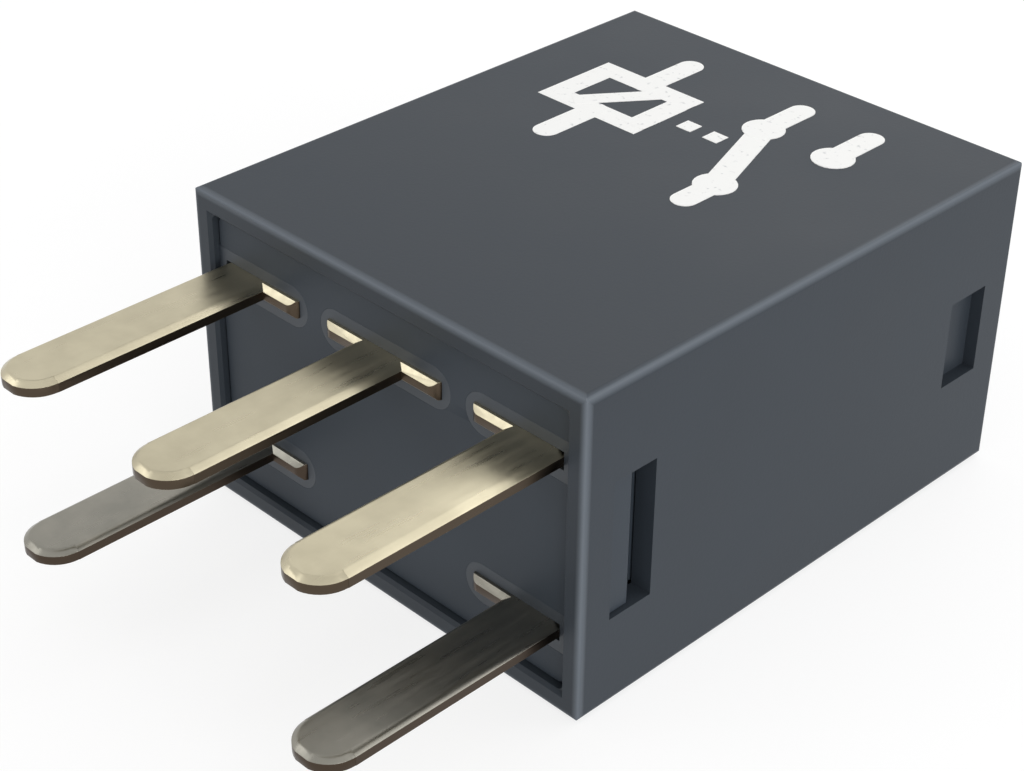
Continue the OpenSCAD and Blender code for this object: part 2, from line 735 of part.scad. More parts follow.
// Leaf that hinges the armature, presses it open and carries the moving contact:
// a leg on the yoke, a bend with a relief window, and a tapering arm
module contact_spring() {
    tip_r = spring_tip_w / 2;
    window_w = spring_w * 0.4;
    taper = armature_l - 1;
    color([0.8, 0.55, 0.3]) difference() {
        intersection() {
            translate([0, 0, mid_z - spring_w / 2]) linear_extrude(spring_w) spring_profile();
            union() {
                block(yoke_x - eps, hinge_x + 3, leg_y0 - eps, hinge_y + 4,
                      mid_z - spring_w, mid_z + spring_w);
                on_armature() along_y(0, armature_t + eps) {
                    polygon([[0, -spring_w / 2 - eps], [2, -spring_w / 2 - eps],
                             [taper, -spring_w / 2], [contact_arm - 1, -tip_r],
                             [contact_arm, -tip_r], [contact_arm, tip_r],
                             [contact_arm - 1, tip_r], [taper, spring_w / 2],
                             [2, spring_w / 2 + eps], [0, spring_w / 2 + eps]]);
                    translate([contact_arm, 0]) circle(tip_r);
                }
            }
        }
        block(yoke_x - eps, hinge_x + 1.6, hinge_y - 2, hinge_y + armature_t + 1,
              mid_z - window_w / 2, mid_z + window_w / 2);
        for (y = yoke_rivet_y)
            rod_x(y, mid_z, yoke_x - spring_t - eps, yoke_x + eps, rivet_d);
        on_armature() {
            for (z = [-1, 1])
                rod_y(armature_rivet_u, z * armature_rivet_z,
                      armature_t - eps, armature_t + spring_t + eps, rivet_d);
            rod_y(contact_arm, 0, armature_t - eps, armature_t + spring_t + eps, shank_d);
        }
    }
}

module armature_rivets() {
    top = armature_t + spring_t;
    color([0.7, 0.7, 0.71]) on_armature()
        for (z = [-1, 1]) {
            rod_y(armature_rivet_u, z * armature_rivet_z, 0, top + rivet_head_t / 2,
                  rivet_d - 2 * press_gap);
            rod_y(armature_rivet_u, z * armature_rivet_z, top, top + rivet_head_t,
                  rivet_d + rivet_head_grow);
        }
}

module yoke_rivets() {
    color([0.7, 0.7, 0.71]) for (y = yoke_rivet_y) {
        rod_x(y, mid_z, yoke_x - spring_t - rivet_head_t / 2, yoke_x + yoke_t,
              rivet_d - 2 * press_gap);
        rod_x(y, mid_z, yoke_x - spring_t - rivet_head_t, yoke_x - spring_t,
              rivet_d + rivet_head_grow);
    }
}

// Contact head on the plane y = 0, domed towards +Y
module domed_head() {
    rotate([-90, 0, 0]) rotate_extrude() intersection() {
        square([moving_d / 2, head_t]);
        translate([0, head_t - dome_r]) circle(dome_r, $fn = 240);
    }
}

// Double rivet: one head above the spring and one below it
module moving_contact() {
    color([0.85, 0.85, 0.84]) on_armature() translate([contact_arm, armature_t, 0]) {
        translate([0, spring_t, 0]) domed_head();
        mirror([0, 1, 0]) domed_head();
        rod_y(0, 0, -head_t / 4, spring_t + head_t / 4, shank_d - 2 * press_gap);
    }
}

// Fixed contact rivet on a tab; side is +1 when its face points towards +Y
module fixed_contact(tab_y, side) {
    color([0.85, 0.85, 0.84]) translate([contact_x, tab_y, mid_z]) flip_y(side < 0) {
        rod_y(0, 0, 0, head_t, fixed_d);
        rod_y(0, 0, -blade_t - tail_t / 2, head_t / 2, shank_d - 2 * press_gap);
        rod_y(0, 0, -blade_t - tail_t, -blade_t, shank_d + tail_grow);
    }
}

// ---------------------------------------------------------------- assembly

translate([0, mid_y, 0]) {
    cover_can();  // cover
    base_plug();  // base
    terminal_30();
    terminal_85();
    terminal_86();
    contact_terminal(col_x, row_low, 1, open_tab_y);  // terminal_87
    contact_terminal(0, row_up, -1, closed_tab_y);  // terminal_87a
    seal(-col_x, row_low, -1);  // seal_30
    seal(col_x, row_up, 1);  // seal_85
    seal(-col_x, row_up, -1);  // seal_86
    seal(col_x, row_low, 1);  // seal_87
    seal(0, row_up, 0);  // seal_87a
    yoke();
    core();
    bobbin();
    winding();
    lead(post_85_x);  // lead_85
    lead(post_86_x);  // lead_86
    resistor();
    resistor_wires();
    armature();
    contact_spring();
    armature_rivets();
    yoke_rivets();
    moving_contact();
    fixed_contact(open_tab_y, 1);  // open_contact
    fixed_contact(closed_tab_y - blade_t, -1);  // closed_contact
}
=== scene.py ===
import bpy
import bmesh
import math
from mathutils import Matrix, Vector


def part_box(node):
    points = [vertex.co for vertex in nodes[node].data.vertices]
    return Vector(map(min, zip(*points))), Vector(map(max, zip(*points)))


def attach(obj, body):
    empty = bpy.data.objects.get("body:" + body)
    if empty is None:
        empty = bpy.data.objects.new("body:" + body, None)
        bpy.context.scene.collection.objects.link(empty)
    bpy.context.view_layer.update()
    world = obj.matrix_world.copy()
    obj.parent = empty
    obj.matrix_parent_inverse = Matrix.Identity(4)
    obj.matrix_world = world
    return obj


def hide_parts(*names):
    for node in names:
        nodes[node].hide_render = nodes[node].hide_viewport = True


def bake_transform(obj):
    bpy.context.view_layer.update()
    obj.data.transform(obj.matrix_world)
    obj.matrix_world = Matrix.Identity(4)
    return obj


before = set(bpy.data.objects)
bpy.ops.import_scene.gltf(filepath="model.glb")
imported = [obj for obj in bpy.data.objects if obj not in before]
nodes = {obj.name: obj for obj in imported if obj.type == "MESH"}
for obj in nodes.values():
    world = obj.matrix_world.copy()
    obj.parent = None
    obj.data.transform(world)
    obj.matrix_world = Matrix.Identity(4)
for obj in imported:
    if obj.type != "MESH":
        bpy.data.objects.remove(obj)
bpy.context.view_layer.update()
mm = 0.001
print("frame loaded:", len(nodes), "pieces of the relay")


# ---- small helpers

def linear(hexColour):
    rgb = [int(hexColour[i:i + 2], 16) / 255 for i in (1, 3, 5)]
    return [c / 12.92 if c <= 0.04045 else ((c + 0.055) / 1.055) ** 2.4 for c in rgb] + [1.0]


def newMaterial(name):
    material = bpy.data.materials.new(name)
    material.use_nodes = True
    material.node_tree.nodes.clear()
    return material, material.node_tree


def addNode(tree, kind, settings=None, inputs=None):
    # settings are the node's own options; an input is a value, or a socket to link from
    node = tree.nodes.new(kind)
    for key, value in (settings or {}).items():
        setattr(node, key, value)
    for key, value in (inputs or {}).items():
        if isinstance(value, bpy.types.NodeSocket):
            tree.links.new(value, node.inputs[key])
        else:
            node.inputs[key].default_value = value
    return node


# ---- materials

# noise stays near 0.5: these stretch its middle into patches of colour and of gloss
colourBand = {"From Min": 0.35, "From Max": 0.65, "To Min": 0.0, "To Max": 1.0}
glossBand = {"From Min": 0.3, "From Max": 0.7}


def paintedEdgeHighlight(tree, place, box, reachMm):
    # painted highlight along a box's edges: 1 where two faces of a box meet, 0 further in:
    # the middle one of the three distances from a point of the surface to the box's faces
    low, high = box
    centre, half = (low + high) / 2, (high - low) / 2
    shift = addNode(tree, "ShaderNodeVectorMath", {"operation": "SUBTRACT"},
                    {0: place, 1: centre})
    size = addNode(tree, "ShaderNodeVectorMath", {"operation": "ABSOLUTE"},
                   {0: shift.outputs[0]})
    gaps = addNode(tree, "ShaderNodeVectorMath", {"operation": "SUBTRACT"},
                   {0: half, 1: size.outputs[0]})
    a, b, c = addNode(tree, "ShaderNodeSeparateXYZ", None, {"Vector": gaps.outputs[0]}).outputs
    smaller = addNode(tree, "ShaderNodeMath", {"operation": "MINIMUM"}, {0: a, 1: b})
    larger = addNode(tree, "ShaderNodeMath", {"operation": "MAXIMUM"}, {0: a, 1: b})
    capped = addNode(tree, "ShaderNodeMath", {"operation": "MINIMUM"},
                     {0: larger.outputs["Value"], 1: c})
    middle = addNode(tree, "ShaderNodeMath", {"operation": "MAXIMUM"},
                     {0: smaller.outputs["Value"], 1: capped.outputs["Value"]})
    return addNode(tree, "ShaderNodeMapRange", None, {
        "Value": middle.outputs["Value"], "From Min": 0.0, "From Max": reachMm * mm,
        "To Min": 1.0, "To Max": 0.0}).outputs["Result"]


def mouldedPlastic(name, values):
    # glass-filled polyester from a spark-eroded mould: an even satin with a very fine grain
    material, tree = newMaterial(name)
    place = addNode(tree, "ShaderNodeTexCoord").outputs["Object"]
    grain = addNode(tree, "ShaderNodeTexNoise", None, {
        "Vector": place, "Scale": 1 / (values["grainMm"] * mm), "Detail": 2.0, "Roughness": 0.6})
    clouds = addNode(tree, "ShaderNodeTexNoise", None, {
        "Vector": place, "Scale": 1 / (values["cloudMm"] * mm), "Detail": 3.0, "Roughness": 0.5})
    tone = addNode(tree, "ShaderNodeMapRange", None, {
        "Value": clouds.outputs["Fac"], **colourBand})
    colour = addNode(tree, "ShaderNodeMix", {"data_type": "RGBA"}, {
        0: tone.outputs["Result"], 6: linear(values["colour"]), 7: linear(values["colourAlt"])})
    # the cover's edges are painted lighter: a painted highlight where its faces meet
    if "edgeHighlightColour" in values:
        edgeHighlight = paintedEdgeHighlight(tree, place, values["box"], values["edgeHighlightMm"])
        colour = addNode(tree, "ShaderNodeMix", {"data_type": "RGBA"}, {
            0: edgeHighlight, 6: colour.outputs[2], 7: linear(values["edgeHighlightColour"])})
    gloss = addNode(tree, "ShaderNodeMapRange", None, {
        "Value": clouds.outputs["Fac"], **glossBand,
        "To Min": values["roughness"] - 0.03, "To Max": values["roughness"] + 0.04})
    bump = addNode(tree, "ShaderNodeBump", None, {
        "Height": grain.outputs["Fac"], "Strength": values["grainStrength"],
        "Distance": values["grainDepthMm"] * mm})
    shader = addNode(tree, "ShaderNodeBsdfPrincipled", None, {
        "Base Color": colour.outputs[2], "Roughness": gloss.outputs["Result"], "IOR": 1.5,
        "Specular IOR Level": values["specular"],
        "Normal": bump.outputs["Normal"]})
    addNode(tree, "ShaderNodeOutputMaterial", None, {"Surface": shader.outputs["BSDF"]})
    return material


coverPlastic = mouldedPlastic("blue-grey moulded polyester", {
    "colour": "#31373e", "colourAlt": "#343a41", "roughness": 0.45, "specular": 0.2,
    # the lighter edge colour is a painted highlight along the cover's edges
    "box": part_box("cover"), "edgeHighlightMm": 0.35, "edgeHighlightColour": "#70777f",
    "grainMm": 0.16,  # the real grain is near 0.03 mm, drawn coarser so that it shows
    "grainDepthMm": 0.012, "grainStrength": 0.35, "cloudMm": 6})
basePlastic = mouldedPlastic("dark moulded polyester", {
    "colour": "#333a42", "colourAlt": "#363d45", "roughness": 0.45, "specular": 0.2,
    "grainMm": 0.14, "grainDepthMm": 0.01, "grainStrength": 0.3, "cloudMm": 5})
bobbinPlastic = mouldedPlastic("natural moulded nylon", {
    "colour": "#c9bf9f", "colourAlt": "#cfc6a8", "roughness": 0.4, "specular": 0.5,
    "grainMm": 0.12, "grainDepthMm": 0.008, "grainStrength": 0.3, "cloudMm": 4})


def rolledMetal(name, values):
    # sheet that was rolled, plated and stamped: fine lines along the strip, a soft sheen,
    # and barer, darker metal where the punch sheared it, on the blades also painted shade
    material, tree = newMaterial(name)
    texCoord = addNode(tree, "ShaderNodeTexCoord")
    stretch = addNode(tree, "ShaderNodeMapping", None, {
        "Vector": texCoord.outputs["Object"], "Scale": values["lineStretch"]})
    lines = addNode(tree, "ShaderNodeTexNoise", None, {
        "Vector": stretch.outputs["Vector"], "Scale": 1 / (values["lineMm"] * mm),
        "Detail": 3.0, "Roughness": 0.6})
    stain = addNode(tree, "ShaderNodeTexNoise", None, {
        "Vector": texCoord.outputs["Object"], "Scale": 1 / (values["stainMm"] * mm),
        "Detail": 3.0, "Roughness": 0.55})
    stainTone = addNode(tree, "ShaderNodeMapRange", None, {
        "Value": stain.outputs["Fac"], **colourBand, "From Max": 0.68})
    plated = addNode(tree, "ShaderNodeMix", {"data_type": "RGBA"}, {
        0: stainTone.outputs["Result"],
        6: linear(values["colour"]), 7: linear(values["colourAlt"])})
    # a sheared wall stands upright, a rolled face lies flat
    facing = addNode(tree, "ShaderNodeSeparateXYZ", None, {"Vector": texCoord.outputs["Normal"]})
    level = addNode(tree, "ShaderNodeMath", {"operation": "ABSOLUTE"}, {0: facing.outputs["Z"]})
    wall = addNode(tree, "ShaderNodeMapRange", None, {
        "Value": level.outputs["Value"], "From Min": 0.2, "From Max": 0.45,
        "To Min": 1.0, "To Max": 0.0})
    # upright walls take the darker colour: bare sheared metal, and on the blades painted shade
    # too
    shearAndShade = addNode(tree, "ShaderNodeMath", {"operation": "MULTIPLY"},
                    {0: wall.outputs["Result"], 1: values["shearAndShadeShare"]})
    colour = addNode(tree, "ShaderNodeMix", {"data_type": "RGBA"}, {
        0: shearAndShade.outputs["Value"], 6: plated.outputs[2], 7: linear(values["shearAndShadeColour"])})
    gloss = addNode(tree, "ShaderNodeMapRange", None, {
        "Value": lines.outputs["Fac"], **glossBand,
        "To Min": values["roughness"] - 0.05, "To Max": values["roughness"] + 0.08})
    bump = addNode(tree, "ShaderNodeBump", None, {
        "Height": lines.outputs["Fac"], "Strength": values["lineStrength"],
        "Distance": values["lineDepthMm"] * mm})
    shader = addNode(tree, "ShaderNodeBsdfPrincipled", None, {
        "Base Color": colour.outputs[2], "Metallic": 1.0, "Roughness": gloss.outputs["Result"],
        "Normal": bump.outputs["Normal"]})
    addNode(tree, "ShaderNodeOutputMaterial", None, {"Surface": shader.outputs["BSDF"]})
    return material


bladeSheet = {  # the strip that all five blades are punched from
    # the blades' upright walls are painted dark brown: bare metal where sheared, and painted
    # shade
    "shearAndShadeColour": "#463a30", "shearAndShadeShare": 0.95, "roughness": 0.3, "lineMm": 0.35,
    "lineStretch": (1.0, 0.08, 1.0), "lineDepthMm": 0.004, "lineStrength": 0.2, "stainMm": 1.6}
tinnedBlade = rolledMetal("satin tin plate on copper alloy", {
    **bladeSheet, "colour": "#c0b89f", "colourAlt": "#b5ad95"})
# a darker copy of the same tin for the lower row: painted shade
shadedTinBlade = rolledMetal("tin plate on copper alloy, painted shade", {
    **bladeSheet, "colour": "#8f8c83", "colourAlt": "#84827a"})
platedIron = rolledMetal("zinc-plated soft iron", {
    "colour": "#b9bcc0", "colourAlt": "#a9adb3", "shearAndShadeColour": "#9a9da1", "shearAndShadeShare": 0.3,
    "roughness": 0.32, "lineMm": 0.3, "lineStretch": (1.0, 0.1, 1.0),
    "lineDepthMm": 0.004, "lineStrength": 0.4, "stainMm": 2.5})
springBronze = rolledMetal("rolled phosphor bronze", {
    "colour": "#c98f5e", "colourAlt": "#b97f50", "shearAndShadeColour": "#a06c42", "shearAndShadeShare": 0.3,
    "roughness": 0.25, "lineMm": 0.2, "lineStretch": (0.1, 1.0, 1.0),
    "lineDepthMm": 0.002, "lineStrength": 0.4, "stainMm": 2.0})


def turnedMetal(name, values):
    # drawn or headed wire: bright, with a little handling haze
    material, tree = newMaterial(name)
    place = addNode(tree, "ShaderNodeTexCoord").outputs["Object"]
    haze = addNode(tree, "ShaderNodeTexNoise", None, {
        "Vector": place, "Scale": 1 / (values["hazeMm"] * mm), "Detail": 4.0})
    tone = addNode(tree, "ShaderNodeMapRange", None, {
        "Value": haze.outputs["Fac"], **colourBand})
    colour = addNode(tree, "ShaderNodeMix", {"data_type": "RGBA"}, {
        0: tone.outputs["Result"], 6: linear(values["colour"]), 7: linear(values["colourAlt"])})
    gloss = addNode(tree, "ShaderNodeMapRange", None, {
        "Value": haze.outputs["Fac"], **glossBand,
        "To Min": values["roughness"] - 0.04, "To Max": values["roughness"] + 0.06})
    shader = addNode(tree, "ShaderNodeBsdfPrincipled", None, {
        "Base Color": colour.outputs[2], "Metallic": 1.0, "Roughness": gloss.outputs["Result"]})
    addNode(tree, "ShaderNodeOutputMaterial", None, {"Surface": shader.outputs["BSDF"]})
    return material


turnedIron = turnedMetal("turned soft iron", {
    "colour": "#b4b7bb", "colourAlt": "#a7aaaf", "roughness": 0.25, "hazeMm": 0.8})
rivetSteel = turnedMetal("plated rivet steel", {
    "colour": "#c2c4c7", "colourAlt": "#b3b5b9", "roughness": 0.22, "hazeMm": 0.6})
silverAlloy = turnedMetal("silver contact alloy", {
    "colour": "#e4e2dc", "colourAlt": "#d6d3cb", "roughness": 0.18, "hazeMm": 0.5})
tinnedWire = turnedMetal("tinned copper wire", {
    "colour": "#c9cacb", "colourAlt": "#babbbd", "roughness": 0.25, "hazeMm": 0.5})


def clearCoated(name, values):
    # a tinted body under a clear skin, such as enamel on wire or lacquer on a resistor;
    # resin that has cured matt has no skin
    material, tree = newMaterial(name)
    place = addNode(tree, "ShaderNodeTexCoord").outputs["Object"]
    mottle = addNode(tree, "ShaderNodeTexNoise", None, {
        "Vector": place, "Scale": 1 / (values["mottleMm"] * mm), "Detail": 3.0})
    tone = addNode(tree, "ShaderNodeMapRange", None, {
        "Value": mottle.outputs["Fac"], **colourBand})
    colour = addNode(tree, "ShaderNodeMix", {"data_type": "RGBA"}, {
        0: tone.outputs["Result"], 6: linear(values["colour"]), 7: linear(values["colourAlt"])})
    bump = addNode(tree, "ShaderNodeBump", None, {
        "Height": mottle.outputs["Fac"], "Strength": 0.2,
        "Distance": values["mottleDepthMm"] * mm})
    shader = addNode(tree, "ShaderNodeBsdfPrincipled", None, {
        "Base Color": colour.outputs[2], "Metallic": values["metallic"],
        "Roughness": values["roughness"], "Coat Weight": values["coat"],
        "Coat Roughness": 0.06, "Normal": bump.outputs["Normal"]})
    addNode(tree, "ShaderNodeOutputMaterial", None, {"Surface": shader.outputs["BSDF"]})
    return material


copperEnamel = clearCoated("enamelled copper wire", {
    "colour": "#b5622f", "colourAlt": "#a35527", "metallic": 0.9, "roughness": 0.28,
    "coat": 0.6, "mottleMm": 0.6, "mottleDepthMm": 0.004})
resistorLacquer = clearCoated("blue resistor lacquer", {
    "colour": "#6f93a3", "colourAlt": "#66899a", "metallic": 0.0, "roughness": 0.35,
    "coat": 0.5, "mottleMm": 0.5, "mottleDepthMm": 0.01})
sealResin = clearCoated("cured sealing resin", {
    "colour": "#30373f", "colourAlt": "#333a42", "metallic": 0.0, "roughness": 0.45,
    "coat": 0.0, "mottleMm": 0.9, "mottleDepthMm": 0.03})


def padInk(name, values):
    # opaque ink pressed on by a soft pad: flat white, thinner and greyer in small patches
    material, tree = newMaterial(name)
    place = addNode(tree, "ShaderNodeTexCoord").outputs["Object"]
    speckle = addNode(tree, "ShaderNodeTexNoise", None, {
        "Vector": place, "Scale": 1 / (values["speckleMm"] * mm), "Detail": 3.0})
    thin = addNode(tree, "ShaderNodeMapRange", None, {
        "Value": speckle.outputs["Fac"], "From Min": 0.62, "From Max": 0.75,
        "To Min": 0.0, "To Max": 1.0})
    colour = addNode(tree, "ShaderNodeMix", {"data_type": "RGBA"}, {
        0: thin.outputs["Result"], 6: linear(values["colour"]), 7: linear(values["thinColour"])})
    shader = addNode(tree, "ShaderNodeBsdfPrincipled", None, {
        "Base Color": colour.outputs[2], "Roughness": values["roughness"]})
    addNode(tree, "ShaderNodeOutputMaterial", None, {"Surface": shader.outputs["BSDF"]})
    return material


whiteInk = padInk("white pad-printing ink", {
    "colour": "#f4f4f2", "thinColour": "#c9cacb", "roughness": 0.5, "speckleMm": 0.3})
print("materials made")


# ---- CAD pieces: same shape, softened edges and their own finish

edgeSoftening = {  # mm
    "cover": 0.05, "base": 0.04, "seal": 0.01, "terminal": 0.08, "yoke": 0.08,
    "armature": 0.08, "core": 0.06, "bobbin": 0.08, "resistor": 0.1, "other": 0.03}
edgeFinish = {"weldMm": 0.0005, "flatDegrees": 0.4, "sharpDegrees": 38, "steps": 2,
              "shadingWeight": 60}


def dressNode(name, material):
    piece = nodes[name]
    piece.data.materials.clear()
    piece.data.materials.append(material)
    for polygon in piece.data.polygons:
        polygon.use_smooth = True
    weld = piece.modifiers.new("joinCorners", "WELD")
    weld.merge_threshold = edgeFinish["weldMm"] * mm
    flats = piece.modifiers.new("wholeFlats", "DECIMATE")
    flats.decimate_type = "DISSOLVE"
    flats.angle_limit = math.radians(edgeFinish["flatDegrees"])
    width = edgeSoftening.get(name.split("_")[0], edgeSoftening["other"])
    bevel = piece.modifiers.new("softEdges", "BEVEL")
    bevel.width = width * mm
    bevel.segments = edgeFinish["steps"]
    bevel.limit_method = "ANGLE"
    bevel.angle_limit = math.radians(edgeFinish["sharpDegrees"])
    bevel.miter_outer = "MITER_ARC"
    shading = piece.modifiers.new("evenShading", "WEIGHTED_NORMAL")
    shading.weight = edgeFinish["shadingWeight"]
    shading.keep_sharp = True


finishes = {
    "cover": coverPlastic, "base": basePlastic, "bobbin": bobbinPlastic,
    "yoke": platedIron, "armature": platedIron, "core": turnedIron,
    "winding": copperEnamel, "lead_85": copperEnamel, "lead_86": copperEnamel,
    "resistor": resistorLacquer, "resistor_wires": tinnedWire,
    "armature_rivets": rivetSteel, "yoke_rivets": rivetSteel,
    "moving_contact": silverAlloy, "open_contact": silverAlloy, "closed_contact": silverAlloy,
    "contact_spring": springBronze,
}
# the blades of the lower row get a darker copy of the tin: painted shade from the cover and
# upper row
middleHeight = (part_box("cover")[0].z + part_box("cover")[1].z) / 2
for number in ("30", "85", "86", "87", "87a"):
    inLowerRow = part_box("seal_" + number)[0].z < middleHeight
    finishes["terminal_" + number] = shadedTinBlade if inLowerRow else tinnedBlade
    finishes["seal_" + number] = sealResin
for name, material in finishes.items():
    dressNode(name, material)
print("CAD pieces dressed:", len(finishes))


# ---- contact spring: riveted to the yoke and to the armature, copied into a leaf piece of its own


def bendingLeaf():
    source = nodes["contact_spring"]
    seen = bpy.context.evaluated_depsgraph_get()
    mesh = bpy.data.meshes.new_from_object(source.evaluated_get(seen))
    leaf = bpy.data.objects.new("contact_leaf", mesh)
    bpy.context.scene.collection.objects.link(leaf)
    leaf.matrix_world = source.matrix_world
    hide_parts("contact_spring")
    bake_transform(leaf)


bendingLeaf()


# ---- printed circuit symbol on the cover's broad face: coil on the left, changeover
# contact on the right, drawn as heavy strokes and dots

symbol = {
    "centreX": -0.7, "backOffset": 7.9,  # mm: sideways, and from the closed end to its middle
    "inkThickness": 0.012, "layerStep": 0.0015,
    "coilX": -4.1, "coilWidth": 5.8, "coilHeight": 4.6, "stroke": 1.15, "slant": 0.9,
    "slantReach": 0.55,  # share of the coil box that the slanted stroke crosses
    "wire": 1.2, "wireLength": 2.4, "dot": 0.95,
    "dash": 0.8, "dashLength": 0.8, "dashStep": 1.5, "dashGap": 0.75,
    "armX": 4.3, "armSwing": 1.9, "armHalf": 3.3, "contactDrop": 1.2,
    "stem": 1.9, "upperStem": 2.6, "arcSteps": 12,
}


def strokeOutline(start, end, width, roundEnds=True):
    # outline of a straight stroke, anticlockwise
    a, b = Vector(start), Vector(end)
    along = (b - a).normalized()
    side = Vector((-along.y, along.x))
    half = width / 2
    if not roundEnds:
        return [a - side * half, b - side * half, b + side * half, a + side * half]
    points = []
    for centre, first in ((b, -90), (a, 90)):
        for step in range(symbol["arcSteps"] + 1):
            turn = math.radians(first + step * 180 / symbol["arcSteps"])
            points.append(centre + along * half * math.cos(turn) + side * half * math.sin(turn))
    return points


def symbolShapes():
    s = symbol
    halfW, halfH = (s["coilWidth"] - s["stroke"]) / 2, (s["coilHeight"] - s["stroke"]) / 2
    coilX, pen = s["coilX"], s["stroke"] / 2
    shapes = []
    # coil: a box with a slanted stroke, and a wire out of each long side
    for side in (-1, 1):
        shapes.append(strokeOutline((coilX - halfW - pen, side * halfH),
                                    (coilX + halfW + pen, side * halfH), s["stroke"], False))
        shapes.append(strokeOutline((coilX + side * halfW, -halfH),
                                    (coilX + side * halfW, halfH), s["stroke"], False))
        shapes.append(strokeOutline((coilX, side * halfH),
                                    (coilX, side * (halfH + pen + s["wireLength"])), s["wire"]))
    reach = halfW * s["slantReach"]
    shapes.append(strokeOutline((coilX - reach, -halfH), (coilX + reach, halfH),
                                s["slant"], False))
    # broken line from the coil to the contact arm
    for step in range(2):
        x = coilX + halfW + pen + s["dashGap"] + s["dashStep"] * step
        shapes.append(strokeOutline((x, 0), (x + s["dashLength"], 0), s["dash"], False))
    # changeover contact: pivot, arm, and a fixed contact with its wire on each side
    pivot = (s["armX"], -s["armHalf"])
    leftEnd, rightEnd = ((s["armX"] + side * s["armSwing"], s["armHalf"] - s["contactDrop"])
                         for side in (-1, 1))
    shapes.append(strokeOutline(pivot, leftEnd, s["wire"]))
    shapes.append(strokeOutline(pivot, (s["armX"], -s["armHalf"] - s["stem"]), s["wire"]))
    for x, y in (leftEnd, rightEnd):
        shapes.append(strokeOutline((x, y), (x, y + s["upperStem"]), s["wire"]))
    for x, y in (pivot, leftEnd, rightEnd):
        # a very short stroke with round ends is a dot
        shapes.append(strokeOutline((x - 0.01, y), (x + 0.01, y), 2 * s["dot"]))
    return shapes


def makeSymbol():
    low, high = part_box("cover")
    origin = Vector(((low.x + high.x) / 2 + symbol["centreX"] * mm,
                     high.y - symbol["backOffset"] * mm, high.z))
    mesh = bmesh.new()
    for index, outline in enumerate(symbolShapes()):
        # each shape is a hair higher than the one before, so that crossings stay clean
        top = (symbol["inkThickness"] + symbol["layerStep"] * index) * mm
        verts = [mesh.verts.new(origin + Vector((p[0] * mm, p[1] * mm, top))) for p in outline]
        face = mesh.faces.new(verts)
        sunk = bmesh.ops.extrude_face_region(mesh, geom=[face])
        moved = [v for v in sunk["geom"] if isinstance(v, bmesh.types.BMVert)]
        bmesh.ops.translate(mesh, verts=moved, vec=(0, 0, -top))
    bmesh.ops.recalc_face_normals(mesh, faces=mesh.faces)
    data = bpy.data.meshes.new("printed_symbol")
    mesh.to_mesh(data)
    mesh.free()
    piece = bpy.data.objects.new("printed_symbol", data)
    bpy.context.scene.collection.objects.link(piece)
    piece.data.materials.append(whiteInk)
    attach(piece, "relay")


makeSymbol()
print("circuit symbol printed")


# ---- enamelled wire laid over the winding: a helix swept with a round section

# the real wire is near 0.1 mm, drawn thicker so that its turns show
wireTurns = {"pitchMm": 0.25, "wireMm": 0.24, "sinkMm": 0.06, "stepsPerTurn": 40, "sides": 6}


def helixTree():
    tree = bpy.data.node_groups.new("wire turns", "GeometryNodeTree")
    face = tree.interface
    face.new_socket("Geometry", in_out="OUTPUT", socket_type="NodeSocketGeometry")
    names = {}
    for label, kind in (("Radius", "NodeSocketFloat"), ("Length", "NodeSocketFloat"),
                        ("Turns", "NodeSocketFloat"), ("Wire radius", "NodeSocketFloat"),
                        ("Steps", "NodeSocketInt"), ("Sides", "NodeSocketInt"),
                        ("Start", "NodeSocketVector"), ("Material", "NodeSocketMaterial")):
        names[label] = face.new_socket(label, in_out="INPUT", socket_type=kind).identifier
    group = addNode(tree, "NodeGroupInput")
    spiral = addNode(tree, "GeometryNodeCurveSpiral", None, {
        "Resolution": group.outputs["Steps"], "Rotations": group.outputs["Turns"],
        "Start Radius": group.outputs["Radius"], "End Radius": group.outputs["Radius"],
        "Height": group.outputs["Length"]})
    section = addNode(tree, "GeometryNodeCurvePrimitiveCircle", None, {
        "Resolution": group.outputs["Sides"], "Radius": group.outputs["Wire radius"]})
    swept = addNode(tree, "GeometryNodeCurveToMesh", None, {
        "Curve": spiral.outputs["Curve"], "Profile Curve": section.outputs["Curve"],
        "Fill Caps": True})
    placed = addNode(tree, "GeometryNodeTransform", None, {
        "Geometry": swept.outputs["Mesh"], "Translation": group.outputs["Start"],
        "Rotation": (math.radians(-90), 0, 0)})
    smooth = addNode(tree, "GeometryNodeSetShadeSmooth", None, {
        "Geometry": placed.outputs["Geometry"]})
    real = addNode(tree, "GeometryNodeRealizeInstances", None, {
        "Geometry": smooth.outputs["Geometry"]})
    painted = addNode(tree, "GeometryNodeSetMaterial", None, {
        "Geometry": real.outputs["Geometry"], "Material": group.outputs["Material"]})
    addNode(tree, "NodeGroupOutput", None, {"Geometry": painted.outputs["Geometry"]})
    return tree, names


def layWire():
    low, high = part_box("winding")
    w = wireTurns
    length = high.y - low.y - w["wireMm"] * mm
    tree, names = helixTree()
    values = {
        "Radius": (high.x - low.x) / 2 - w["sinkMm"] * mm, "Length": length,
        "Turns": length / (w["pitchMm"] * mm), "Wire radius": w["wireMm"] / 2 * mm,
        "Steps": w["stepsPerTurn"], "Sides": w["sides"],
        "Start": ((low.x + high.x) / 2, low.y + w["wireMm"] / 2 * mm, (low.z + high.z) / 2),
        "Material": copperEnamel}
    maker = bpy.data.objects.new("wire_maker", bpy.data.meshes.new("wire_maker"))
    bpy.context.scene.collection.objects.link(maker)
    step = maker.modifiers.new("helix", "NODES")
    step.node_group = tree
    for label, value in values.items():
        step[names[label]] = value
    seen = bpy.context.evaluated_depsgraph_get()
    mesh = bpy.data.meshes.new_from_object(maker.evaluated_get(seen))
    bpy.data.objects.remove(maker)
    wire = bpy.data.objects.new("winding_turns", mesh)
    bpy.context.scene.collection.objects.link(wire)
    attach(wire, "relay")


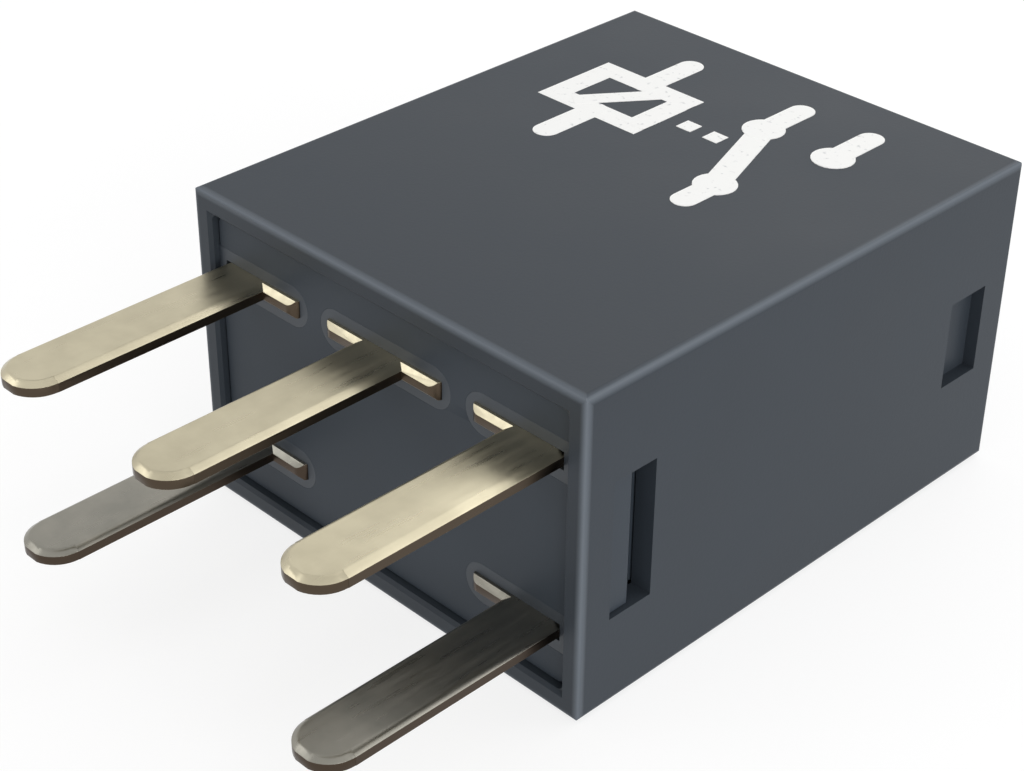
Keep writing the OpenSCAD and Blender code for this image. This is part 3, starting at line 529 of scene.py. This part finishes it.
layWire()
print("winding turns laid")


# ---- camera, floor and light

camera = {
    "azimuth": 45.057, "elevation": 32.757, "roll": 0.589,  # degrees
    "distance": 92.482, "right": 0.38, "up": 0.548,         # mm from the aim point
    "lens": 77.28, "sensor": 36,
    "aimBehindRim": 8,                                      # mm, on the cover's middle line
}


def placeCamera():
    data = bpy.data.cameras.new("camera")
    eye = bpy.data.objects.new("camera", data)
    bpy.context.scene.collection.objects.link(eye)
    data.lens = camera["lens"]
    data.sensor_width = camera["sensor"]
    data.clip_start = 1 * mm
    turn = (Matrix.Rotation(math.radians(camera["azimuth"]), 4, "Z")
            @ Matrix.Rotation(math.radians(90 - camera["elevation"]), 4, "X")
            @ Matrix.Rotation(math.radians(camera["roll"]), 4, "Z"))
    low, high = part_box("cover")
    aim = Vector((0, low.y + camera["aimBehindRim"] * mm, (low.z + high.z) / 2))
    shift = Vector((-camera["right"], -camera["up"], camera["distance"])) * mm
    eye.matrix_world = Matrix.Translation(aim + turn.to_3x3() @ shift) @ turn
    bpy.context.scene.camera = eye


board = {"colour": "#f0f0f0", "halfWidthMm": 600, "dropMm": 0.1, "glow": 1.1, "glowShare": 0.7}


def paleFloor():
    # pale matt board that the relay lies on; lens and metal see it near white, and it
    # keeps a soft shadow
    data = bpy.data.meshes.new("floor")
    mesh = bmesh.new()
    bmesh.ops.create_grid(mesh, x_segments=1, y_segments=1, size=board["halfWidthMm"] * mm)
    bmesh.ops.translate(mesh, verts=mesh.verts, vec=(0, 0, -board["dropMm"] * mm))
    mesh.to_mesh(data)
    mesh.free()
    floor = bpy.data.objects.new("floor", data)
    bpy.context.scene.collection.objects.link(floor)
    material, tree = newMaterial("pale board")
    path = addNode(tree, "ShaderNodeLightPath")
    seen = addNode(tree, "ShaderNodeMath", {"operation": "MAXIMUM"}, {
        0: path.outputs["Is Camera Ray"], 1: path.outputs["Is Glossy Ray"]})
    share = addNode(tree, "ShaderNodeMath", {"operation": "MULTIPLY"}, {
        0: seen.outputs["Value"], 1: board["glowShare"]})
    matt = addNode(tree, "ShaderNodeBsdfDiffuse", None, {"Color": linear(board["colour"])})
    glow = addNode(tree, "ShaderNodeEmission", None, {
        "Color": (1, 1, 1, 1), "Strength": board["glow"]})
    mixed = addNode(tree, "ShaderNodeMixShader", None, {
        "Fac": share.outputs["Value"], 1: matt.outputs["BSDF"], 2: glow.outputs["Emission"]})
    addNode(tree, "ShaderNodeOutputMaterial", None, {"Surface": mixed.outputs["Shader"]})
    floor.data.materials.append(material)


lamps = {  # places and sizes in mm
    # the key stands behind the relay, so the cover shades the roots and the lower blades
    "key": {"at": (40, 310, 340), "size": (720, 200), "watts": 0.7},
    "fill": {"at": (-280, -235, 290), "size": (240, 180), "watts": 0.2},
    "front": {"at": (360, -120, 130), "size": (240, 200), "watts": 0.75},
}
daylight = {"soft": 0.62, "seen": 1.0}  # on matt surfaces, and to the lens and in metal


def placeLamps():
    for name, values in lamps.items():
        data = bpy.data.lights.new(name, "AREA")
        data.shape = "RECTANGLE"
        data.size, data.size_y = (side * mm for side in values["size"])
        data.energy = values["watts"]
        lamp = bpy.data.objects.new(name, data)
        lamp.location = Vector(values["at"]) * mm
        lamp.rotation_euler = (-lamp.location).to_track_quat("-Z", "Y").to_euler()
        bpy.context.scene.collection.objects.link(lamp)
    world = bpy.data.worlds.new("studio")
    bpy.context.scene.world = world
    world.use_nodes = True
    tree = world.node_tree
    tree.nodes.clear()
    path = addNode(tree, "ShaderNodeLightPath")
    mirrored = addNode(tree, "ShaderNodeMath", {"operation": "MAXIMUM"}, {
        0: path.outputs["Is Camera Ray"], 1: path.outputs["Is Glossy Ray"]})
    soft, white = (addNode(tree, "ShaderNodeBackground", None, {
        "Color": (1, 1, 1, 1), "Strength": daylight[name]}) for name in ("soft", "seen"))
    both = addNode(tree, "ShaderNodeMixShader", None, {
        "Fac": mirrored.outputs["Value"], 1: soft.outputs["Background"],
        2: white.outputs["Background"]})
    addNode(tree, "ShaderNodeOutputWorld", None, {"Surface": both.outputs["Shader"]})


placeCamera()
paleFloor()
placeLamps()
bpy.context.scene.view_settings.view_transform = "Standard"
print("camera, floor and lamps set")
